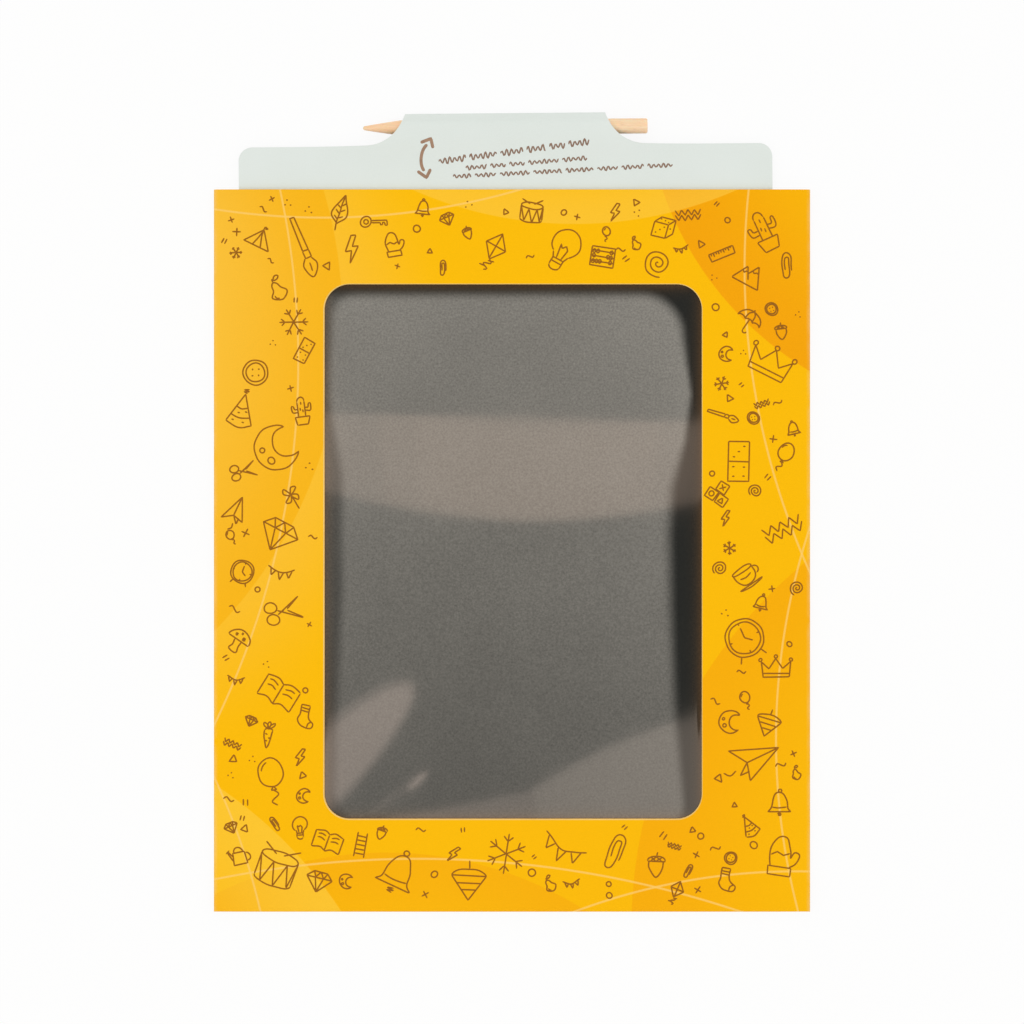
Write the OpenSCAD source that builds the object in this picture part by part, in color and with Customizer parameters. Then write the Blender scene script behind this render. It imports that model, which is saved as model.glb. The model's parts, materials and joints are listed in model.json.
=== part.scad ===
// Magic slate: a printed card sleeve whose window shows a grey film over a waxed board, with a
// card slider that is pulled out to part the film from the wax, and a wooden stylus in its tab.
// It lies on its back. The origin is the middle of the sleeve's back face, +X is to the right,
// +Y is towards the open mouth of the sleeve and +Z comes out of the window. Millimetres.

/* [Sleeve] */
// Width of the sleeve
sleeve_w = 190; // [172:1:220]
// Height of the sleeve
sleeve_h = 230; // [216:1:270]
// Thickness of the sleeve's card
card_t = 0.7; // [0.4:0.05:1.0]
// Outer radius of the folded edges
fold_r = 1.2; // [0.8:0.1:1.6]
// Width of the glue flaps behind the folds
flap_w = 12; // [9:0.5:14]
// Gap of the mitre between two glue flaps
mitre_gap = 0.6; // [0.2:0.1:1.5]
// How far the back panel stays inside the folded edges
back_inset = 0.5; // [0.2:0.1:1.0]
// Thickness of a glue layer
glue_t = 0.1; // [0.05:0.05:0.3]
// How far the glue stays inside the edge of what it holds
glue_inset = 1.5; // [0.5:0.5:3]

/* [Window] */
// Width of the window
window_w = 120; // [90:1:124]
// Height of the window
window_h = 170; // [120:1:174]
// Corner radius of the window
window_r = 8; // [2:0.5:15]

/* [Writing film] */
// Thickness of the film
film_t = 0.1; // [0.05:0.05:0.3]
// How far the film runs past the window's edge
film_overlap = 8; // [7.5:0.5:12]
// Thickness of the tape that holds the film
tape_t = 0.1; // [0.05:0.05:0.3]
// Width of the tape
tape_w = 6; // [4:0.5:6.5]
// Gap between the window's edge and the tape
tape_setback = 1; // [0.5:0.5:1.0]
// Gap where two lengths of tape meet
tape_butt = 0.5; // [0.2:0.1:1.0]

/* [Wax board] */
// Thickness of the black board under the wax
board_t = 0.8; // [0.6:0.1:1.5]
// How far the board runs past the window's edge
board_overlap = 8; // [4:0.5:12]
// Corner radius of the board and the film
board_r = 3; // [1:0.5:6]
// Thickness of the wax
wax_t = 0.2; // [0.1:0.05:0.5]
// Bare rim of the board round the wax
wax_inset = 1; // [0.5:0.5:3]

/* [Guides] */
// Width of the strips that hold the front and the back apart
spacer_w = 2.5; // [2:0.5:3]
// Length of the stops at the mouth
stop_l = 14; // [8:1:16]
// How far the strips and stops sit inside the mouth
mouth_setback = 1; // [0.5:0.5:4]

/* [Slider] */
// How far each long edge of the slider lies inside the sleeve's
slider_inset = 10; // [9:0.5:13]
// Thickness of the slider's card
slider_t = 0.5; // [0.3:0.05:0.8]
// How far the shoulders stand out of the mouth with the slider home
shoulder_out = 14.2; // [10:0.2:30]
// Corner radius of the shoulders
shoulder_r = 4.3; // [2:0.1:8]
// Gap between the window's sides and the slider's rails
rail_gap = 3; // [2.5:0.5:5]
// Gap between the window's top and the slider's head
head_gap = 3; // [2.5:0.5:6]
// Height of the bar that parts the film from the wax
bar_h = 14; // [8:0.5:16]
// Corner radius of the bar's ears
ear_r = 2; // [1:0.5:4]

/* [Tab] */
// Width of the tab where its hollow curves meet the shoulders
tab_foot_w = 89; // [70:1:110]
// Radius of the hollow curves
tab_curve_r = 13; // [11.5:0.5:18]
// Height of the tab above the shoulders
tab_rise = 10.2; // [9.5:0.1:11]
// How far the stylus lies above the shoulders
stylus_rise = 5.7; // [5.2:0.1:6]
// How far the glue flap behind the tab stays out of the mouth
tab_flap_out = 2.5; // [1:0.5:6]

/* [Stylus] */
// Diameter of the stylus
stylus_d = 4.8; // [3.5:0.1:5]
// Length of the stylus
stylus_l = 90.5; // [80:0.5:140]
// Length of the tapered point
tip_l = 12; // [6:0.5:20]
// Diameter of the blunt tip
tip_d = 1.3; // [0.8:0.1:3]
// Chamfer round the flat end
end_chamfer = 0.3; // [0.1:0.1:0.6]

/* [Fits] */
// Gap above and below the slider
slide_gap = 0.15; // [0.1:0.05:0.3]
// Gap between the stylus and its loop
loop_gap = 0.15; // [0.1:0.05:0.3]
// Play on each side of the slider at the mouth stops
mouth_play = 2.3; // [1.0:0.1:2.6]
// Gap that is left where the slider leans against a stop
lean_gap = 0.3; // [0.2:0.1:0.6]
// Gap between the bar's ears and the strips
ear_gap = 0.6; // [0.5:0.1:1.0]
// Gap under the bar with the slider home
home_gap = 0.3; // [0.2:0.1:1.0]

/* [Hidden] */

round_fn = 64;  // facets of a full circle in a preview
arc_steps = 14; // straight steps in a bend of the folded tab
cut = 1;        // how far a cut runs past the face it opens

// Heights of the layers, from the table up
wrap_z0 = card_t + glue_t;
flap_top = wrap_z0 + card_t;
wax_z0 = wrap_z0 + board_t;
slider_z0 = max(flap_top, wax_z0 + wax_t) + slide_gap;
film_z0 = slider_z0 + slider_t + slide_gap;
tape_z0 = film_z0 + film_t;
front_z0 = tape_z0 + tape_t;
hollow_z = (flap_top + front_z0) / 2;
sleeve_t = front_z0 + card_t;

// Folds of the front card
wrap_h = sleeve_t - wrap_z0;
fold_out_r = min(fold_r, wrap_h / 2);
fold_in_r = max(fold_out_r - card_t, 0.05);
fold_in = max(fold_out_r, card_t + fold_in_r);
mitre_l = sqrt(2) * (flap_w - fold_in) - mitre_gap;

// Places across and along the sleeve
slider_w = sleeve_w - 2 * slider_inset;
mouth_y = sleeve_h / 2;
floor_y = card_t - sleeve_h / 2;
flap_in_x = sleeve_w / 2 - flap_w;
spacer_out_x = sleeve_w / 2 - fold_in;
spacer_in_x = spacer_out_x - spacer_w;
stop_in_x = slider_w / 2 + mouth_play;
guide_y1 = mouth_y - mouth_setback;
film_w = window_w + 2 * film_overlap;
film_h = window_h + 2 * film_overlap;
board_w = window_w + 2 * board_overlap;
board_h = window_h + 2 * board_overlap;
tape_in_x = window_w / 2 + tape_setback;
tape_in_y = window_h / 2 + tape_setback;

// The loose slider leans to the left, until its edge is close to the mouth stop
slider_lean = asin((mouth_play - lean_gap) / (mouth_y - floor_y));
ear_x = spacer_in_x - ear_gap;
ear_lift = ear_x * sin(slider_lean);
slider_y0 = floor_y + home_gap + ear_lift;
bar_y1 = slider_y0 + bar_h;
head_y0 = window_h / 2 + head_gap;
shoulder_y = mouth_y + shoulder_out;
slider_travel = guide_y1 - stop_l - bar_y1 - ear_lift - slide_gap;

// The folded tab, seen from its side as points [y, z] along the middle of the card
fold_bend_r = slider_t / 2 + 0.05;
loop_r = stylus_d / 2 + loop_gap + slider_t / 2;
tab_w = tab_foot_w - 2 * sqrt(pow(tab_curve_r, 2) - pow(tab_curve_r - tab_rise, 2));
stylus_at = [shoulder_y + stylus_rise, slider_t / 2 + loop_r];
crease_at = [shoulder_y + tab_rise - fold_bend_r - slider_t / 2, slider_z0 + slider_t];
front_foot = [shoulder_y, slider_z0 + slider_t / 2];
back_foot = [shoulder_y, slider_z0 - glue_t - slider_t / 2];
flap_end = [mouth_y + tab_flap_out, back_foot[1]];

echo(slider_travel = slider_travel, slider_lean = slider_lean, sleeve_t = sleeve_t);

// Points on an arc from angle a to angle b
function arc_points(centre, r, a, b) =
    [for (i = [0:arc_steps]) let (t = a + (b - a) * i / arc_steps) centre + r * [cos(t), sin(t)]];

// Angle of the line from point p to point q
function heading(p, q) = atan2(q[1] - p[1], q[0] - p[0]);

// Half the extra angle that a line needs to touch a circle instead of meeting its centre
function graze(p, q, r) = asin(r / norm(q - p));

// Front layer of the tab: up from the shoulders, over the stylus and down to the crease
function front_path() =
    let (
        up = heading(front_foot, stylus_at) + graze(front_foot, stylus_at, loop_r),
        down = heading(stylus_at, crease_at) - graze(stylus_at, crease_at, loop_r - fold_bend_r)
    )
    concat(
        [front_foot],
        arc_points(stylus_at, loop_r, up + 90, down + 90),
        arc_points(crease_at, fold_bend_r, down + 90, 0)
    );

// Back layer of the tab: from the crease, under the stylus and along the glue flap
function back_path() =
    let (
        down = heading(stylus_at, crease_at) + graze(stylus_at, crease_at, loop_r - fold_bend_r),
        up = heading(back_foot, stylus_at) - graze(back_foot, stylus_at, loop_r)
    )
    concat(
        arc_points(crease_at, fold_bend_r, 0, down - 90),
        arc_points(stylus_at, loop_r, down - 90, up - 90),
        [back_foot, flap_end]
    );

// Point i of a path, pushed sideways so that both its neighbouring runs move by d
function pushed(path, i, d) =
    let (
        a = heading(path[max(i - 1, 0)], path[max(i, 1)]),
        b = heading(path[min(i, len(path) - 2)], path[min(i + 1, len(path) - 1)]),
        turn = (b - a + 540) % 360 - 180,
        side = a + turn / 2 + 90
    )
    path[i] + d / cos(turn / 2) * [cos(side), sin(side)];

// Outline of a strip of card of thickness t bent along a path
function strip(path, t) =
    let (last = len(path) - 1)
    concat(
        [for (i = [0:last]) pushed(path, i, t / 2)],
        [for (i = [last:-1:0]) pushed(path, i, -t / 2)]
    );

// Rectangle about the origin with rounded corners
module round_rect(w, h, r) {
    square([w - 2 * r, h], center = true);
    square([w, h - 2 * r], center = true);
    for (sx = [-1, 1], sy = [-1, 1])
        translate([sx * (w / 2 - r), sy * (h / 2 - r)]) circle(r, $fn = round_fn);
}

// Flat sheet with rounded corners, from z0 up
module sheet(w, h, r, t, z0) {
    translate([0, 0, z0]) linear_extrude(t) round_rect(w, h, r);
}

// Box between two corners
module block(low, high) {
    translate(low) cube(high - low);
}

// Mirrors the children to the left for side -1, or leaves them on the right for side 1
module on_side(side) {
    mirror([side < 0 ? 1 : 0, 0, 0]) children();
}

// Bends a drawing of y and z into place and runs it along x
module along_x(length) {
    rotate([90, 0, 90]) linear_extrude(length, center = true) children();
}

// Envelope that is d inside the folded card, round at its sides and foot and open at the mouth
module wrap_body(d, r, y1) {
    middle_z = (wrap_z0 + sleeve_t) / 2;
    h = wrap_h - 2 * d;
    y0 = d - sleeve_h / 2;
    intersection() {
        translate([0, y1, middle_z]) rotate([90, 0, 0])
            linear_extrude(y1 - y0) round_rect(sleeve_w - 2 * d, h, r);
        translate([0, 0, middle_z]) along_x(sleeve_w) {
            translate([(y0 + y1) / 2, 0]) round_rect(y1 - y0, h, r);
            translate([(y0 + 3 * y1) / 4, 0]) square([(y1 - y0) / 2, h], center = true);
        }
    }
}

// Slots where the glue flaps meet at the two lower corners
module mitre_slots() {
    for (side = [-1, 1])
        on_side(side)
            translate([flap_in_x, flap_w - sleeve_h / 2, wrap_z0 - cut])
                rotate([0, 0, -45])
                    translate([-cut, -mitre_gap / 2, 0])
                        cube([cut + mitre_l, mitre_gap, cut + hollow_z - wrap_z0]);
}

// Printed front card, folded round both sides and the foot to three glue flaps
module front_wrap() {
    color("#fdbf10") difference() {
        wrap_body(0, fold_out_r, mouth_y);
        wrap_body(card_t, fold_in_r, mouth_y + cut);
        sheet(window_w, window_h, window_r, card_t + 2 * cut, front_z0 - cut);
        block([-flap_in_x, flap_w - sleeve_h / 2, wrap_z0 - cut], [flap_in_x, mouth_y + cut, hollow_z]);
        mitre_slots();
    }
}

// Plain back card, glued over the flaps
module back_panel() {
    color("#d9d4c8")
        block([back_inset - sleeve_w / 2, back_inset - sleeve_h / 2, 0],
              [sleeve_w / 2 - back_inset, mouth_y, card_t]);
}

// Glue on a side flap
module flap_glue(side) {
    color("#f2efe4") on_side(side)
        block([flap_in_x + glue_inset, flap_w - sleeve_h / 2, card_t],
              [sleeve_w / 2 - max(fold_out_r, glue_inset), mouth_y - glue_inset, wrap_z0]);
}

// Glue on the flap at the foot
module flap_glue_bottom() {
    color("#f2efe4")
        block([-flap_in_x, max(fold_out_r, glue_inset) - sleeve_h / 2, card_t],
              [flap_in_x, flap_w - glue_inset - sleeve_h / 2, wrap_z0]);
}

// Black board under the window
module wax_board() {
    color("#26241f") sheet(board_w, board_h, board_r, board_t, wrap_z0);
}

// Glue between the board and the back panel
module board_glue() {
    color("#f2efe4") sheet(board_w - 2 * glue_inset, board_h - 2 * glue_inset, board_r, glue_t, card_t);
}

// Soft dark wax that the film clings to
module wax_coat() {
    color("#1b1a18") sheet(board_w - 2 * wax_inset, board_h - 2 * wax_inset, board_r, wax_t, wax_z0);
}

// Grey film that is drawn on
module writing_film() {
    color("#6f6d66") sheet(film_w, film_h, board_r, film_t, film_z0);
}

// Tape beside the window
module film_tape_side(side) {
    color("#e8e2cf") on_side(side)
        block([tape_in_x, -tape_in_y - tape_w, tape_z0], [tape_in_x + tape_w, tape_in_y + tape_w, front_z0]);
}

// Tape above the window for end 1, or below it for end -1
module film_tape_end(end) {
    reach = tape_in_x - tape_butt;
    color("#e8e2cf") mirror([0, end < 0 ? 1 : 0, 0])
        block([-reach, tape_in_y, tape_z0], [reach, tape_in_y + tape_w, front_z0]);
}

// Strip between a side flap and the front
module side_spacer(side) {
    color("#b9b2a3") on_side(side)
        block([spacer_in_x, fold_in - sleeve_h / 2, flap_top], [spacer_out_x, guide_y1, front_z0]);
}

// Block at the mouth that catches an ear of the slider
module mouth_stop(side) {
    color("#b9b2a3") on_side(side)
        block([stop_in_x, guide_y1 - stop_l, flap_top], [spacer_in_x, guide_y1, front_z0]);
}

// Turns a piece of the slider by its lean, about the middle of the sleeve's foot
module leaning() {
    translate([0, floor_y, 0]) rotate([0, 0, slider_lean]) translate([0, -floor_y, 0]) children();
}

// Outline of the slider below the tab: rails, head, shoulders and the eared bar
module slider_outline() {
    difference() {
        union() {
            translate([0, (slider_y0 + shoulder_y) / 2])
                round_rect(slider_w, shoulder_y - slider_y0, shoulder_r);
            translate([0, slider_y0 + bar_h / 2]) round_rect(2 * ear_x, bar_h, ear_r);
        }
        translate([0, (bar_y1 + head_y0) / 2])
            round_rect(window_w + 2 * rail_gap, head_y0 - bar_y1, window_r);
    }
}

// Outline of the tab above the shoulders, with its two hollow curves
module tab_outline() {
    difference() {
        translate([-tab_foot_w / 2, shoulder_y]) square([tab_foot_w, tab_rise]);
        for (side = [-1, 1])
            translate([side * tab_foot_w / 2, shoulder_y + tab_curve_r]) circle(tab_curve_r, $fn = round_fn);
    }
}

// Mint card slider, with the tab folded back over the stylus
module slider_card() {
    color("#e2e9e3") leaning() {
        translate([0, 0, slider_z0]) linear_extrude(slider_t) slider_outline();
        intersection() {
            along_x(tab_foot_w) polygon(strip(front_path(), slider_t));
            linear_extrude(2 * sleeve_t + stylus_d) tab_outline();
        }
        along_x(tab_w) polygon(strip(back_path(), slider_t));
    }
}

// Glue between the tab's flap and the back of the slider
module tab_glue() {
    color("#f2efe4") leaning()
        block([glue_inset - tab_w / 2, flap_end[0] + glue_inset, slider_z0 - glue_t],
              [tab_w / 2 - glue_inset, shoulder_y - glue_inset, slider_z0]);
}

// Half profile of the stylus, from its rounded tip to its chamfered end
module stylus_profile() {
    r = stylus_d / 2;
    tip_r = tip_d / 2;
    difference() {
        union() {
            polygon([[0, tip_r], [tip_r, tip_r], [r, tip_l], [r, stylus_l - end_chamfer],
                     [r - end_chamfer, stylus_l], [0, stylus_l]]);
            translate([0, tip_r]) circle(tip_r, $fn = round_fn);
        }
        translate([-stylus_d, -cut]) square([stylus_d, stylus_l + 2 * cut]);
    }
}

// Wooden stylus, lying in the tab with its point to the left
module stylus() {
    color("#f6cfa6") leaning()
        translate([-stylus_l / 2, stylus_at[0], stylus_at[1]]) rotate([0, 90, 0])
            rotate_extrude($fn = round_fn) stylus_profile();
}

front_wrap();
back_panel();
flap_glue(-1);  // flap_glue_left
flap_glue(1);  // flap_glue_right
flap_glue_bottom();
wax_board();
board_glue();
wax_coat();
writing_film();
film_tape_side(-1);  // film_tape_left
film_tape_side(1);  // film_tape_right
film_tape_end(1);  // film_tape_top
film_tape_end(-1);  // film_tape_bottom
side_spacer(-1);  // side_spacer_left
side_spacer(1);  // side_spacer_right
mouth_stop(-1);  // mouth_stop_left
mouth_stop(1);  // mouth_stop_right
slider_card();
tab_glue();
stylus();
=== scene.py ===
import json
import math
from functools import partial

import bpy
import numpy as np
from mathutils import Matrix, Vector


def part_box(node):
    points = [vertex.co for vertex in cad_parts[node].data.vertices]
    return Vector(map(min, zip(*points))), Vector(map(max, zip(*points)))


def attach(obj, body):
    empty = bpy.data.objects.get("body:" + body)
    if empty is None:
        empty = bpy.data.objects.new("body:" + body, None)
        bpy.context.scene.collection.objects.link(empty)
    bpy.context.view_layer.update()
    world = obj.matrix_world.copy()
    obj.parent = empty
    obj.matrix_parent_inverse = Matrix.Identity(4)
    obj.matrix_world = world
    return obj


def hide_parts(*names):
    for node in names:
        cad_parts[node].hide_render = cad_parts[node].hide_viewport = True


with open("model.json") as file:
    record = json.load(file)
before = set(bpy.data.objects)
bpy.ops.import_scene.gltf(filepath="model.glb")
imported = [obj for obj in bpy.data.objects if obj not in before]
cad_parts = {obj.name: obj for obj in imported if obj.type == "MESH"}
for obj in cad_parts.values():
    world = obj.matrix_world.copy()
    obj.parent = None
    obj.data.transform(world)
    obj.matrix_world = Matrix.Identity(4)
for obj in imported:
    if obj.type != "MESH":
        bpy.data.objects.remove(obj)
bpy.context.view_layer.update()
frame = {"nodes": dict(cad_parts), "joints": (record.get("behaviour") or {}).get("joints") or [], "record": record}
mm = 0.001
hair = 1e-6  # points closer than this are one
print("frame loaded,", len(frame["nodes"]), "nodes")


# Colour, node and mesh helpers

def linear(hexColour):  # sRGB hex to the linear colour that a socket takes
    value = np.array([int(hexColour[i:i + 2], 16) for i in (1, 3, 5)]) / 255
    low = value / 12.92
    high = ((value + 0.055) / 1.055) ** 2.4
    return (*np.where(value <= 0.04045, low, high).tolist(), 1.0)


def plug(socket, value):  # a socket is linked to another one, or set to a value
    if isinstance(value, bpy.types.NodeSocket):
        socket.id_data.links.new(value, socket)
    else:
        socket.default_value = value


def addNode(tree, kind, *values, **named):
    # a node: its settings and some inputs by name, other inputs in their order; gives its main output
    made = tree.nodes.new("ShaderNode" + kind)
    for name, value in named.items():
        if name in made.inputs:
            plug(made.inputs[name], value)
        else:
            setattr(made, name, value)
    for socket, value in zip([socket for socket in made.inputs if socket.enabled], values):
        plug(socket, value)
    return next((socket for socket in made.outputs if socket.enabled), None)


def newMaterial(name):
    # an empty material: itself, what adds nodes to it, and Object coordinates in millimetres
    material = bpy.data.materials.new(name)
    material.use_nodes = True
    material.node_tree.nodes.clear()
    add = partial(addNode, material.node_tree)
    place = add("TexCoord").node.outputs["Object"]
    return material, add, add("Mapping", place, Scale=(1 / mm, 1 / mm, 1 / mm))


def smooth(t):  # eased step, 0 below 0 and 1 above 1
    t = np.clip(t, 0, 1)
    return t * t * (3 - 2 * t)


def boxOf(node):  # a CAD node's low and high corners in millimetres
    return (np.array(corner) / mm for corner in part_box(node))


def quads(index):  # quads between neighbouring entries of a table of vertex numbers
    faces = np.stack([index[:-1, :-1], index[1:, :-1], index[1:, 1:], index[:-1, 1:]], axis=-1)
    return faces.reshape(-1, 4)


def gridFaces(rows, columns, closed=False):  # quads of a grid of points, rows outwards, columns around
    index = np.arange(rows * columns).reshape(rows, columns)
    return quads(np.hstack([index, index[:, :1]]) if closed else index)


def newPiece(name, points, faces, materials):  # points in millimetres become a mesh in metres
    mesh = bpy.data.meshes.new(name)
    mesh.from_pydata((points.reshape(-1, 3) * mm).tolist(), [], faces.tolist())
    for material in materials:
        mesh.materials.append(material)
    mesh.shade_smooth()
    piece = bpy.data.objects.new(name, mesh)
    bpy.context.scene.collection.objects.link(piece)
    return piece


def thicken(piece, thickness, offset):  # a sheet gets its thickness: below it at -1, to both sides at 0
    wall = piece.modifiers.new("wall", "SOLIDIFY")
    wall.thickness = thickness * mm
    wall.offset = offset
    return wall


def settle(piece, sharpAngle=35):  # apply the modifiers, then keep edges over the angle sharp
    graph = bpy.context.evaluated_depsgraph_get()
    mesh = bpy.data.meshes.new_from_object(piece.evaluated_get(graph))
    piece.modifiers.clear()
    piece.data = mesh
    mesh.set_sharp_from_angle(angle=math.radians(sharpAngle))


def onCircle(centre, radius, start, end, count):  # points of a circle from one angle to another, in degrees
    angle = np.radians(np.linspace(start, end, count))
    return centre + radius * np.stack([np.cos(angle), np.sin(angle)], axis=-1)


def fillet(corners, radii, steps):
    # a path through right-angled corners: straight stretches, and a quarter circle where a radius is given
    corners = [np.array(c, float) for c in corners]
    pieces = []
    here = corners[0]
    turn = np.linspace(0, math.pi / 2, steps + 1)[1:, None]
    run = np.linspace(0, 1, steps + 1)[1:, None]
    for before, corner, after, radius in zip(corners, corners[1:], corners[2:], radii):
        back = (before - corner) / np.linalg.norm(before - corner)
        onward = (after - corner) / np.linalg.norm(after - corner)
        pieces.append(here + (corner + back * radius - here) * run)
        if radius:
            pieces.append(corner + radius * (back * (1 - np.sin(turn)) + onward * (1 - np.cos(turn))))
        here = pieces[-1][-1]
    pieces.append(here + (corners[-1] - here) * run)
    return np.vstack([corners[:1], *pieces])


def ringLoops(inner, radius, head, foot, stations):
    # two loops with as many points: a rounded rectangle, and an outline whose right-hand corners are given as
    # paths and whose left-hand ones mirror them; both from the foot of the right side, anticlockwise, with
    # stations that run from 0 to 1 along each straight side
    outerCorners = [head, head[::-1] * (-1, 1), foot[::-1] * (-1, 1), foot]
    x0, y0, x1, y1 = inner
    centres = np.array([(x1 - radius, y1 - radius), (x0 + radius, y1 - radius),
                        (x0 + radius, y0 + radius), (x1 - radius, y0 + radius)])
    innerLoop = []
    outerLoop = []
    for k, corner in enumerate(outerCorners):
        bend = onCircle(centres[k], radius, 90 * k, 90 * k + 90, len(corner))
        start = onCircle(centres[k - 1], radius, 90 * k, 90 * k, 1)
        outerStart = outerCorners[k - 1][-1]
        t = stations[k][:-1, None]
        innerLoop += [start + (bend[0] - start) * t, bend[:-1]]
        outerLoop += [outerStart + (corner[0] - outerStart) * t, corner[:-1]]
    return np.vstack(innerLoop), np.vstack(outerLoop)


def spokes(inner, outer, rows):  # rows of points along straight lines from one loop out to another
    return inner + (outer - inner) * np.linspace(0, 1, rows)[:, None, None]


def ringAndStrips(ring, strips):
    # points and faces of a closed ring of rows, and of grids that each go on from a stretch of its last row
    rows, around = ring.shape[:2]
    total = rows * around
    edge = np.arange(total - around, total)
    points = [ring.reshape(-1, 3)]
    faces = [gridFaces(rows, around, closed=True)]
    for start, grid in strips:
        index = total + np.arange(grid.size // 3).reshape(grid.shape[:2])
        faces.append(quads(np.vstack([edge[start:start + grid.shape[1]], index])))
        points.append(grid.reshape(-1, 3))
        total += index.size
    return np.vstack(points), np.vstack(faces)


# Camera and stage: straight down on the slate, framed as the photograph is

view = {"lens": 100, "sensor": 36, "near": 10, "height": 905, "centreY": 12.34, "surface": 3.5}

camera = bpy.data.objects.new("camera", bpy.data.cameras.new("camera"))
camera.data.lens = view["lens"]
camera.data.sensor_width = view["sensor"]
camera.data.clip_start = view["near"] * mm
camera.location = (0, view["centreY"] * mm, (view["height"] + view["surface"]) * mm)
bpy.context.scene.collection.objects.link(camera)
bpy.context.scene.camera = camera
bpy.context.scene.view_settings.view_transform = "Standard"

stage = {"half": 8000, "drop": 0.05, "lip": 0.5, "paper": "#f4f4f2", "roughness": 0.9, "white": 0.9}


def paperSweep():
    # matt white paper; what the camera or a gloss sees of it is lifted to white, and shadows stay
    material, add, _ = newMaterial("seamlessPaperSweep")
    paper = add("BsdfPrincipled", linear(stage["paper"]), Roughness=stage["roughness"])
    rays = add("LightPath").node.outputs
    seen = add("Math", rays["Is Camera Ray"], rays["Is Glossy Ray"], operation="MAXIMUM")
    seen = add("Math", seen, rays["Is Transmission Ray"], operation="MAXIMUM")
    share = add("Math", seen, stage["white"], operation="MULTIPLY")
    glow = add("Emission", (1, 1, 1, 1), 1.0)
    add("OutputMaterial", add("MixShader", share, paper, glow))
    return material


def paperFloor():
    # a sheet of three by three quads, open under the sleeve, so that the slate's back shows from below
    low, high = boxOf("back_panel")
    half = stage["half"]
    lip = stage["lip"]
    x, y = np.meshgrid(*([-half, low[k] + lip, high[k] - lip, half] for k in (0, 1)))
    points = np.dstack([x, y, 0 * x - stage["drop"]])
    middle = 4
    return newPiece("floor", points, np.delete(gridFaces(4, 4)[:, ::-1], middle, axis=0), [paperSweep()])


paperFloor()
print("camera and stage made")


# Card materials

pulp = {"clouds": 22, "fleckFrom": (0.12, 0.42), "contrast": 0.5, "roughSpread": 0.08, "depth": 0.02,
        "gloss": {"IOR": 1.5, "Specular IOR Level": 0.3}}


def cardStock(name, colour, fleck, fibre, roughness, relief):
    # pressed paper fibres: a fine fleck and a soft cloudiness in the colour, and a matt felt-like face
    material, add, place = newMaterial(name)
    fibres = add("TexNoise", place, 1 / fibre, Detail=4.0)
    clouds = add("TexNoise", place, 1 / pulp["clouds"], Detail=2.0)
    mixed = add("Math", fibres, clouds, operation="MULTIPLY")
    amount = add("MapRange", mixed, *pulp["fleckFrom"], 0, pulp["contrast"])
    tint = add("Mix", amount, linear(colour), linear(fleck), data_type="RGBA")
    rough = add("MapRange", fibres, 0, 1, roughness - pulp["roughSpread"], roughness + pulp["roughSpread"])
    bump = add("Bump", relief, pulp["depth"] * mm, Height=fibres)
    add("OutputMaterial", add("BsdfPrincipled", tint, Roughness=rough, Normal=bump, **pulp["gloss"]))
    return material


# fibres under 0.3 mm wouldn't show at this size, so the flecks are drawn at 0.35 to 0.6 mm
boardCore = cardStock("boxboardDieCutCore", "#f5d07e", "#e2b45f", 0.35, 0.85, 0.3)
boardInside = cardStock("boxboardUncoatedReverse", "#e6e0d2", "#cfc6b2", 0.5, 0.85, 0.3)
greyBack = cardStock("boxboardGreyBack", "#d9d3c8", "#b9b1a2", 0.5, 0.85, 0.35)
greyBoard = cardStock("greyboardStrips", "#b8b1a3", "#958d7e", 0.6, 0.9, 0.4)
blackBoard = cardStock("blackDyedBoard", "#262521", "#34322d", 0.4, 0.85, 0.3)
mintCard = cardStock("pulpDyedCardCalendered", "#e3eae5", "#dbe3dc", 0.4, 0.62, 0.12)


# Print on the sleeve: yellow and amber fields, each with one crisp edge and one that fades, and pale arcs

printed = {
    # pale is a painted sheen, lighter towards the left; plain and warm are the ink
    "paintedSheen": "#fdc640", "plain": "#febf02", "warm": "#fdb902",
    "sheenAt": (-150, 60, 0), "sheenReach": (70.0, 135.0), "warmY": (120.0, -120.0), "warmShare": 0.7,
    "drift": 90,
    "fields": [  # centre x, y, radius, width of the fade inside the edge, colour, strength
        (-196, 74, 142, 60, "#fab50a", 0.75),
        (150, 150, 108, 70, "#f6a004", 0.80),
        (188, -120, 150, 62, "#f9aa04", 0.70),
        (-40, -214, 118, 40, "#fab006", 0.75),
        (-170, -190, 138, 52, "#ffcc38", 0.70),
        (20, 232, 128, 26, "#ffca3c", 0.60),
    ],
    "edgeSoft": 0.16,
    "arcs": [  # centre x, y, radius of the pale lines
        (-330, 60, 262), (-280, -160, 205), (-60, 330, 224), (90, -300, 198),
        (310, 90, 236), (300, -60, 216), (240, 260, 196), (-30, -420, 322),
    ],
    "line": "#ffd06c", "lineHalf": 0.3, "lineSoft": 0.12, "lineShare": 0.75,
    "grain": 0.3, "grainFrom": (0.3, 0.7), "grainTone": (0.975, 1.02), "grainRelief": 0.05,
    "grainDepth": 0.01,
    # rub is a painted highlight along the side folds, in patches
    "foldSheen": "#fbcf8a", "foldSheenX": (93.45, 94.75), "foldSheenPatch": 7.0, "foldSheenFrom": (0.3, 0.75), "foldSheenShare": 0.5,
    "roughness": (0.36, 0.5), "gloss": {"IOR": 1.49, "Specular IOR Level": 0.07},
}


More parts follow.
